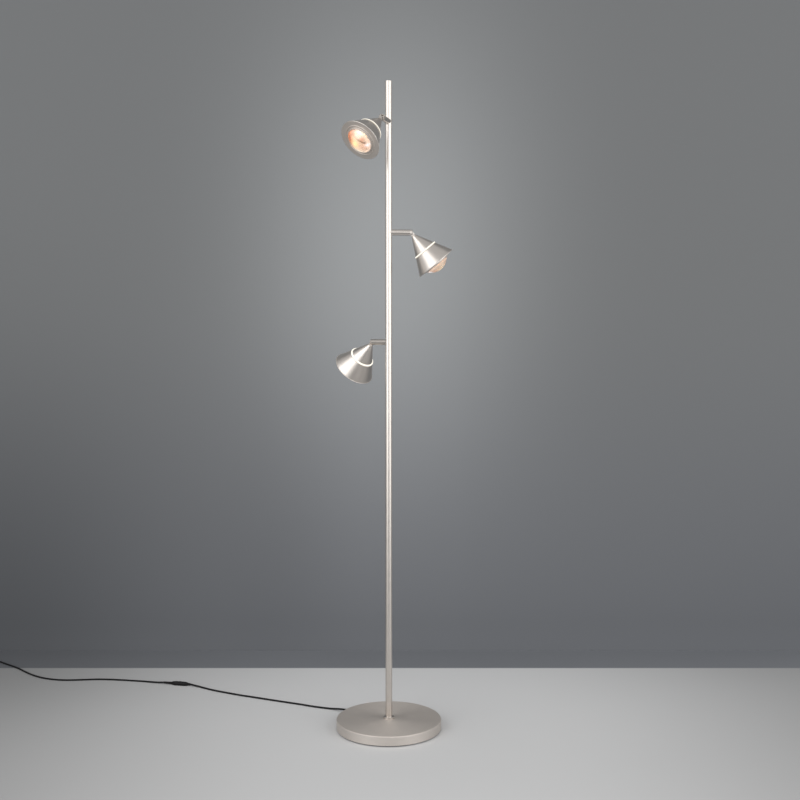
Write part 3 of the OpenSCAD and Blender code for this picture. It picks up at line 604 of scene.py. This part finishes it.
# Plain metals: colour, roughness, and the pieces made of them
metals = {
    "zincSteel": {
        "colour": (0.58, 0.58, 0.60), "roughness": 0.38,
        "pieces": ["base_plate", "base_screws", "pole_foot_stud", "pole_washer", "pole_nut", "arm_nipples",
                   "buttonSpring", "plug_pins"]},
    "drawnBrass": {
        "colour": (0.76, 0.56, 0.26), "roughness": 0.34, "pieces": ["arm_bushes", "switch_contacts"]},
}
metalGrain = {"scale": 900.0, "depth": 0.00005, "cloudScale": 60.0, "cloudTone": 0.72}


# Fine grain and a few darker clouds
def plainMetal(name, look):
    f = Finish(name, Metallic=1.0)
    point = f.coordinates()
    fine, cloud = f.noise(point, metalGrain["scale"], 4.0, 0.6), f.noise(point, metalGrain["cloudScale"], 3.0)
    f.feed(BaseColor=f.mix(cloud, toned(look["colour"], metalGrain["cloudTone"]), look["colour"]),
           Roughness=look["roughness"] - 0.08 + fine * 0.16)
    f.bump(fine, metalGrain["depth"], 0.4)
    return f.material


# The weight in the base, pitted from the mould
ironLook = {
    "dark": (0.060, 0.062, 0.068), "light": (0.115, 0.112, 0.110), "roughness": 0.58,
    "pitScale": 420.0, "pitDepth": 0.0004, "cloudScale": 30.0,
}


def castIron(name):
    look = ironLook
    f = Finish(name, Metallic=0.6)
    point = f.coordinates()
    pits, cloud = f.noise(point, look["pitScale"], 6.0, 0.65), f.noise(point, look["cloudScale"], 3.0)
    f.feed(BaseColor=f.mix(cloud, look["dark"], look["light"]), Roughness=look["roughness"] + pits * 0.25)
    f.bump(pits, look["pitDepth"], 0.6)
    return f.material


# Closed-cell foam of the foot pad: small round cells and a soft cloud
foamLook = {
    "dark": (0.012, 0.012, 0.013), "light": (0.042, 0.041, 0.040), "roughness": 0.78,
    "cellScale": 900.0, "cellDepth": 0.0002, "cloudScale": 45.0,
}


def footFoam(name):
    look = foamLook
    f = Finish(name)
    point = f.coordinates()
    cells = f.add("ShaderNodeTexVoronoi", sockets={"Vector": point, "Scale": look["cellScale"]})
    cloud = f.noise(point, look["cloudScale"], 3.0)
    f.feed(BaseColor=f.mix(cells * 0.8 + cloud * 0.3, look["dark"], look["light"]),
           Roughness=look["roughness"] + cloud * 0.15)
    f.bump(cells, look["cellDepth"], 0.7)
    return f.material


# Moulded plastics: both tones, roughness, scale of the grain, shine, and the pieces made of them
plastics = {
    "driverCase": {
        "dark": (0.62, 0.61, 0.58), "light": (0.74, 0.73, 0.70), "roughness": 0.50, "grain": 2600.0,
        "shine": 0.50, "pieces": ["driver"]},
    "blackPlastic": {
        "dark": (0.002, 0.002, 0.003), "light": (0.010, 0.009, 0.009), "roughness": 0.42, "grain": 2600.0,
        "shine": 0.18, "pieces": ["switch_base", "switch_cover", "plug_body"]},
    "softBlack": {
        "dark": (0.003, 0.003, 0.003), "light": (0.010, 0.009, 0.009), "roughness": 0.52, "grain": 1800.0,
        "shine": 0.18, "pieces": ["cord_gland", "switch_boots", "inner_wires"]},
    "buttonGrey": {
        "dark": (0.012, 0.012, 0.013), "light": (0.026, 0.025, 0.025), "roughness": 0.36, "grain": 2600.0,
        "shine": 0.50, "pieces": ["switch_button"]},
}
plasticGrain = {"depth": 0.00006, "cloudScale": 70.0}


# The fine even grain of an eroded mould
def mouldedPlastic(name, look):
    f = Finish(name, IOR=1.5, SpecularIORLevel=look["shine"])
    point = f.coordinates()
    fine, cloud = f.noise(point, look["grain"], 3.0, 0.6), f.noise(point, plasticGrain["cloudScale"], 3.0)
    f.feed(BaseColor=f.mix(cloud, look["dark"], look["light"]),
           Roughness=look["roughness"] - 0.06 + fine * 0.14 + cloud * 0.05)
    f.bump(fine, plasticGrain["depth"], 0.5)
    return f.material


# Soft jacket: lines along the cord, counted round it and along each metre, and a fine grain
jacketLook = {
    "dark": (0.003, 0.003, 0.004), "light": (0.012, 0.011, 0.011), "roughness": 0.46,
    "linesRound": 9.0, "linesAlong": 14.0, "grain": 1900.0, "depth": 0.00005,
}


def cordJacket(name):
    look = jacketLook
    f = Finish(name, IOR=1.5, SpecularIORLevel=0.15)
    across, lengthwise = f.parts(f.add("ShaderNodeUVMap", {"uv_map": "jacket"}))[:2]
    drawn = f.vector(across * look["linesRound"], lengthwise * look["linesAlong"], 0.0)
    lines = f.noise(drawn, 1.0, 3.0, 0.6)
    grain = f.noise(f.coordinates(), look["grain"], 3.0)
    f.feed(BaseColor=f.mix(lines, look["dark"], look["light"]),
           Roughness=look["roughness"] + lines * 0.14 + grain * 0.08)
    f.bump(lines * 0.6 + grain * 0.4, look["depth"], 0.5)
    return f.material


# Milky ring, lit from behind: warm white across its face, dim at the shoulder towards the mouth
ringLook = {
    "dark": (0.36, 0.34, 0.30), "light": (0.44, 0.42, 0.38), "cloudScale": 42.0,
    "shoulder": (0.0529, 0.0542), "dim": (0.16, 0.12, 0.08), "lit": (0.95, 0.91, 0.80),
}


def milkyRing(name, place):
    look = ringLook
    f = Finish(name, Roughness=0.35, IOR=1.49, EmissionStrength=1.0)
    point = f.coordinates(place)
    cloud = f.noise(point, look["cloudScale"])
    glow = f.fade(f.parts(point)[2], *look["shoulder"])
    f.feed(BaseColor=f.mix(cloud, look["dark"], look["light"]),
           EmissionColor=f.mix(glow * 0.9 + cloud * 0.1, look["dim"], look["lit"]))
    return f.material


# Where the lens glows, warm side first: centre across the radius, width, what it adds to the level, colour.
# The glow is the lamp's own light, and its spots paint the chip's bright image, warm patches of the cup,
# highlights and a bluish glint. The streak is painted shade, that of the board behind the glass, the brim a
# narrow band of painted highlight inside the radius. Heads gives each lens a turn about its own axis and a
# strength
lensGlow = {
    "spots": [{"at": (-0.12, -0.84), "wide": 0.62, "adds": -0.18, "colour": (1.0, 0.42, 0.18)},
              {"at": (-0.06, -0.06), "wide": 0.34, "adds": 0.75, "colour": (1.0, 0.86, 0.48)},
              {"at": (-0.86, 0.05), "wide": 0.42, "adds": 0.30, "colour": (1.0, 0.93, 0.84)},
              {"at": (-0.05, 0.62), "wide": 0.26, "adds": 0.15, "colour": (1.0, 0.72, 0.58)},
              {"at": (-0.56, 0.34), "wide": 0.15, "adds": 0.0, "colour": (1.0, 0.60, 0.46)},
              {"at": (0.70, 0.15), "wide": 0.36, "adds": 0.40, "colour": (1.0, 0.93, 0.80)},
              {"at": (-0.20, 0.80), "wide": 0.15, "adds": 0.60, "colour": (0.90, 0.92, 1.0)}],
    "streak": {"normal": (0.977, -0.215), "offset": 0.479, "wide": 0.050, "rise": (-0.65, 0.60),
               "fall": (0.60, 0.76), "takes": 0.45, "colour": (0.50, 0.38, 0.30)},
    "brim": {"rise": (0.78, 0.88), "fall": (0.94, 1.0), "adds": 0.35},
    "cream": (1.0, 0.84, 0.72), "glass": (0.90, 0.78, 0.68), "strength": 0.34,
    "level": 0.04, "cloud": 0.50, "cloudScale": 110.0, "peelScale": 260.0, "peelDepth": 0.0006,
    "heads": {"upper": (0, 1.0), "middle": (-120, 0.62), "lower": (0, 1.0)},
}


# Pressed glass that glows. A spot is exp(-(distance / wide)^2), and the streak the same of the distance from
# its line, between its rise and its fall
def lensGlass(name, place, turn, strength):
    look, streak, brim = lensGlow, lensGlow["streak"], lensGlow["brim"]
    f = Finish(name, TransmissionWeight=0.80, IOR=1.49, EmissionStrength=look["strength"])
    point = f.coordinates(place @ rotation(turn, "Z"))
    u, v = (part / lensShape["radius"] for part in f.parts(point)[:2])
    peel, cloud = f.noise(point, look["peelScale"]), f.noise(point, look["cloudScale"], 3.0, 0.6)
    level, tint = look["level"] + cloud * look["cloud"], look["cream"]
    for spot in look["spots"]:
        du, dv = u - spot["at"][0], v - spot["at"][1]
        near = f.bell((du * du + dv * dv) / spot["wide"] ** 2)
        level, tint = level + near * spot["adds"], f.mix(near, tint, spot["colour"])
    off = (u * streak["normal"][0] + v * streak["normal"][1] + streak["offset"]) / streak["wide"]
    shade = f.step(v, *streak["rise"]) * f.fade(v, *streak["fall"]) * f.bell(off * off)
    radius = f.length(u, v)
    band = f.step(radius, *brim["rise"]) * f.fade(radius, *brim["fall"])
    level = (level + band * brim["adds"] - shade * streak["takes"]) * strength
    glass = f.mix(cloud * 0.6, tint, look["glass"])
    f.feed(BaseColor=f.mix(shade, glass, streak["colour"]), Roughness=0.05 + cloud * 0.06,
           EmissionColor=f.mix(level, black, tint))
    f.bump(peel, look["peelDepth"], 0.25)
    return f.material


# Vapour-plated cup with fine radial flutes. It glows in soft patches, a painted glow that stands for the
# chip's light in it
cupLook = {
    "dark": (0.86, 0.80, 0.74), "light": (0.94, 0.90, 0.86), "roughness": 0.10, "cloudScale": 120.0,
    "flutes": 32.0, "fluteDepth": 0.0005, "patches": 2.2, "patchesAlong": 20.0, "patchEdge": (0.35, 0.65),
    "amber": (0.42, 0.24, 0.13), "lit": (1.0, 0.86, 0.62), "strength": 0.025,
}


def brightCup(name, place):
    look = cupLook
    f = Finish(name, Metallic=1.0, EmissionStrength=look["strength"])
    point = f.coordinates(place)
    x, y, z = f.parts(point)
    turn = f.maths("ARCTAN2", y, x)
    flutes = f.maths("SINE", turn * look["flutes"]) * 0.5 + 0.5
    cloud = f.noise(point, look["cloudScale"])
    patches = f.noise(f.vector(*f.circle(turn, look["patches"]), z * look["patchesAlong"]), 1.0)
    f.feed(BaseColor=f.mix(cloud, look["dark"], look["light"]), Roughness=look["roughness"] + cloud * 0.12,
           EmissionColor=f.mix(f.step(patches, *look["patchEdge"]), look["amber"], look["lit"]))
    f.bump(flutes, look["fluteDepth"], 0.5)
    return f.material


# Heat sink in grey with the lit chip in its middle: the chip's edge and front in the head's frame
moduleLook = {
    "dark": (0.30, 0.30, 0.31), "light": (0.40, 0.40, 0.41), "cloudScale": 300.0,
    "chipEdge": (0.0050, 0.0060), "chipFront": (0.0535, 0.0538), "chip": (1.0, 0.72, 0.40), "strength": 7.0,
}


def litModule(name, place):
    look = moduleLook
    f = Finish(name, EmissionStrength=look["strength"], Roughness=0.5)
    point = f.coordinates(place)
    x, y, z = f.parts(point)
    cloud = f.noise(point, look["cloudScale"])
    chip = f.fade(f.length(x, y), *look["chipEdge"]) * f.step(z, *look["chipFront"])
    f.feed(BaseColor=f.mix(cloud, look["dark"], look["light"]),
           EmissionColor=f.mix(chip, black, look["chip"]))
    return f.material


def dress(material, *names):
    for name in names:
        obj = nodes[name] if name in nodes else bpy.data.objects[name]
        obj.data.materials.clear()
        obj.data.materials.append(material)


def dressStand():
    dress(spunNickel("baseNickel", **nickelLooks["base"]), "base_cover")
    dress(spunNickel("poleNickel", **nickelLooks["pole"]), "pole_tube", "pole_cap", "pole_collar")
    for name, look in metals.items():
        dress(plainMetal(name, look), *look["pieces"])
    for name, look in plastics.items():
        dress(mouldedPlastic(name, look), *look["pieces"])
    dress(castIron("castIron"), "base_weight")
    dress(footFoam("footFoam"), "base_pad")
    dress(cordJacket("cordJacket"), "cordToSwitch", "cordToPlug")


def dressHead(key):
    arm, head = armPlace(key) @ rotation(90, "Y"), headPlace(key)
    dress(spunNickel(key + "ArmNickel", arm, **nickelLooks["arm"]), key + "_arm")
    dress(spunNickel(key + "ForkNickel", arm, **nickelLooks["fork"]), key + "_fork", key + "_hinge_screw")
    dress(spunNickel(key + "HeadNickel", head, **nickelLooks["head"]),
          key + "_neck", key + "TipCone", key + "Shade")
    dress(spunNickel(key + "PlateNickel", head, **nickelLooks["plate"]), key + "FrontPlate")
    dress(milkyRing(key + "RingGlow", head), key + "LightRing")
    dress(lensGlass(key + "LensGlass", head, *lensGlow["heads"][key]), key + "Lens")
    dress(brightCup(key + "CupPlate", head), key + "Cup")
    dress(litModule(key + "LitModule", head), key + "_led_module")


dressStand()
for key in heads:
    dressHead(key)
print("finishes given")

# Floor, with painted light and shade: brightness in front of and behind the lamp, what it loses near the
# camera, to the sides and in the far left corner, and the darker strip from the painted line to the wall, in
# the wall's colour and with painted shade to the left. Ranges are in metres
floorLook = {
    "half": 6.0, "front": 0.66, "back": 0.73, "frontToBack": (-0.35, 0.42),
    "nearShade": 0.5, "near": (-1.3, -0.5), "middle": 0.10, "depthShare": 0.3,
    "sideShade": 0.50, "sides": (0.2, 1.3),
    "cornerShade": 0.24, "cornerAcross": (0.45, 1.25), "cornerDeep": (-0.3, 0.45),
    "lineAt": 0.486, "blur": 0.004, "sideBlur": 0.02,
    "strip": 0.224, "stripShade": 0.42, "stripAcross": (0.2, 1.26),
    "cloudScale": 3.0, "cloud": 0.01, "tint": (1.0, 1.0, 1.0), "stripTint": (0.96, 1.0, 1.075),
}
# Wall, with painted light and shade: brightness at foot and top, a soft painted glow behind the lamp, two
# painted shades to the left and a painted lift of light at the foot
wallLook = {
    "at": 0.66, "half": 1.36, "high": 3.0, "low": 0.164, "top": 0.188, "lowToTop": (0.0, 1.1),
    "glow": 0.176, "glowHeight": 1.19, "glowWide": 0.383, "glowHigh": 0.655,
    "shades": [{"across": (0.48, 1.2), "up": (0.0, 1.5), "takes": 0.27},
               {"across": (0.05, 0.35), "up": (0.2, 1.1), "takes": 0.10}],
    "footLift": 0.09, "foot": (0.0, 0.10),
    "tintUp": (0.0, 1.2), "tintFoot": (0.96, 1.0, 1.075), "tintTop": (0.97, 1.0, 1.02),
}


# A flat piece of the stage from its four corners
def flatPiece(name, corners, paint):
    obj = makeMesh(name, corners, [(0, 1, 2, 3)], smooth=False)
    obj.data.materials.append(paint)


# Painted light and shade: level from front to back, less near the camera, in the corner and with
# root(x^2 + share * y^2) from the middle. Between the line and the wall it is the strip's level
def floorPaint():
    look, wall = floorLook, wallLook
    f = Finish("floorPaint", Roughness=0.8, SpecularIORLevel=0.2)
    point = f.coordinates()
    x, y = f.parts(point)[:2]
    left, off = 0 - x, x - look["middle"]
    level = look["front"] + f.step(y, *look["frontToBack"]) * (look["back"] - look["front"])
    level = level * (1 - f.fade(y, *look["near"]) * look["nearShade"])
    away = f.maths("SQRT", off * off + y * y * look["depthShare"])
    level = level * (1 - f.step(away, *look["sides"]) * look["sideShade"])
    corner = f.step(left, *look["cornerAcross"]) * f.step(y, *look["cornerDeep"])
    level = level * (1 - corner * look["cornerShade"])
    beyond = f.step(y, look["lineAt"] - look["blur"], look["lineAt"] + look["blur"])
    beyond = beyond * f.fade(f.maths("ABSOLUTE", x), wall["half"] - look["sideBlur"], wall["half"])
    beyond = beyond * f.fade(y, wall["at"], wall["at"] + look["blur"])
    strip = (1 - f.step(left, *look["stripAcross"]) * look["stripShade"]) * look["strip"]
    level = level * (1 - beyond) + beyond * strip + f.noise(point, look["cloudScale"]) * look["cloud"]
    f.feed(BaseColor=f.mix(level, black, f.mix(beyond, look["tint"], look["stripTint"])))
    return f.material


# Painted glow of light: exp(-(x / wide)^2 - ((z - height) / high)^2), over a level that falls towards the
# floor as painted shade. The wall is seen from its front only, and is clear from behind
def wallPaint():
    look = wallLook
    f = Finish("wallPaint", Roughness=0.9, SpecularIORLevel=0.1)
    x, y, z = f.parts(f.coordinates())
    wide, high = x / look["glowWide"], (z - look["glowHeight"]) / look["glowHigh"]
    glow = f.bell(wide * wide + high * high) * look["glow"]
    level = look["low"] + f.step(z, *look["lowToTop"]) * (look["top"] - look["low"]) + glow
    shade = sum(f.step(0 - x, *s["across"]) * f.fade(z, *s["up"]) * s["takes"] for s in look["shades"])
    level = level * (1 - shade) * (1 + f.fade(z, *look["foot"]) * look["footLift"])
    tint = f.mix(f.step(z, *look["tintUp"]), look["tintFoot"], look["tintTop"])
    f.feed(BaseColor=f.mix(level, black, tint))
    behind = f.add("ShaderNodeNewGeometry", out="Backfacing")
    clear = f.add("ShaderNodeBsdfTransparent")
    shown = f.add("ShaderNodeMixShader", sockets={0: behind, 1: Value(f, f.shader.outputs[0]), 2: clear})
    f.connect(shown, f.tree.nodes["Material Output"].inputs["Surface"])
    return f.material


def makeStage():
    half, side, wallAt, high = floorLook["half"], wallLook["half"], wallLook["at"], wallLook["high"]
    flatPiece("floor", [(-half, -half, 0), (half, -half, 0), (half, half, 0), (-half, half, 0)], floorPaint())
    wallCorners = [(-side, wallAt, 0), (side, wallAt, 0), (side, wallAt, high), (-side, wallAt, high)]
    flatPiece("wall", wallCorners, wallPaint())


# Soft panels stand upright behind the camera and at both its sides; brightness is a face's radiance
panels = {
    "softLeft": {"azimuth": 226, "distance": 2.6, "height": 1.80, "size": (2.5, 3.3), "brightness": 1.65},
    "softRight": {"azimuth": 322, "distance": 2.6, "height": 1.50, "size": (2.4, 2.9), "brightness": 1.60},
    "softFront": {"azimuth": 272, "distance": 3.2, "height": 1.75, "size": (1.9, 1.7), "brightness": 0.78},
}
worldLight = {"colour": (0.90, 0.90, 0.90), "strength": 0.60}


# Power of a panel: brightness * pi * area
def makeLights():
    for name, panel in panels.items():
        data = bpy.data.lights.new(name, "AREA")
        data.shape = "RECTANGLE"
        data.size, data.size_y = panel["size"]
        data.energy = panel["brightness"] * math.pi * data.size * data.size_y
        obj = newObject(name, data)
        out = along(panel["azimuth"])
        obj.location = Vector(out * panel["distance"]) + Vector((0, 0, panel["height"]))
        obj.rotation_euler = Vector(-out).to_track_quat("-Z", "Y").to_euler()
    world = bpy.data.worlds.new("softWorld")
    scene.world = world
    world.use_nodes = True
    background = world.node_tree.nodes["Background"]
    background.inputs["Color"].default_value = (*worldLight["colour"], 1)
    background.inputs["Strength"].default_value = worldLight["strength"]


makeStage()
makeLights()
print("stage and light set")
